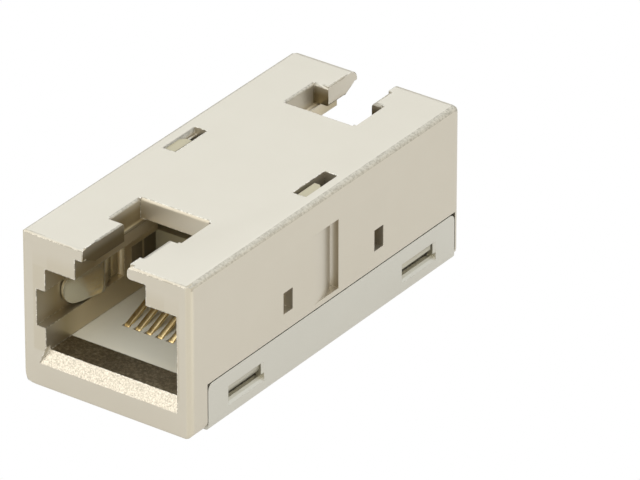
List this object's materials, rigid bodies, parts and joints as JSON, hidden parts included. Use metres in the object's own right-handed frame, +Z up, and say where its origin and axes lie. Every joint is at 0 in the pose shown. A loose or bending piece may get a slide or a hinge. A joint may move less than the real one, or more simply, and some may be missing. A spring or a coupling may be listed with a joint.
{
  "type": "shielded modular plug coupler",
  "caption": "Shielded in-line modular jack: die-cast block with a latched plug socket at each end, bent spring contacts inside and a clipped bottom cover.",
  "frame": {"origin": "centre of the underside of the bottom cover, on the plane it lies on", "axes": "+Y runs from the front socket to the rear socket along the length, +Z up through the latch slots, +X to the right seen from the front"},
  "size_m": [0.0154, 0.0348, 0.013],
  "materials": {
    "housing_nickel": "satin nickel plate over fine-grained zinc die casting",
    "cover_nickel": "slightly greyer satin nickel plate over zinc die casting",
    "board_laminate": "green solder-masked glass-fibre board",
    "carrier_plastic": "light grey moulded plastic",
    "comb_plastic": "light grey moulded plastic",
    "contact_gold": "gold-plated phosphor bronze strip",
    "solder_tin": "bright solder fillets",
    "spring_nickel": "nickel-plated spring sheet"
  },
  "bodies": {
    "root": {"housing": "housing_nickel", "bottom_cover": "cover_nickel", "circuit_board": "board_laminate", "contact_carrier_front": "carrier_plastic", "contact_carrier_rear": "carrier_plastic", "contact_comb": "comb_plastic", "contact_front_1": "contact_gold", "contact_front_2": "contact_gold", "contact_front_3": "contact_gold", "contact_front_4": "contact_gold", "contact_front_5": "contact_gold", "contact_front_6": "contact_gold", "contact_front_7": "contact_gold", "contact_front_8": "contact_gold", "contact_rear_1": "contact_gold", "contact_rear_2": "contact_gold", "contact_rear_3": "contact_gold", "contact_rear_4": "contact_gold", "contact_rear_5": "contact_gold", "contact_rear_6": "contact_gold", "contact_rear_7": "contact_gold", "contact_rear_8": "contact_gold", "solder_joints_front": "solder_tin", "solder_joints_rear": "solder_tin", "shield_spring_front": "spring_nickel", "shield_spring_rear": "spring_nickel"}
  },
  "joints": []
}
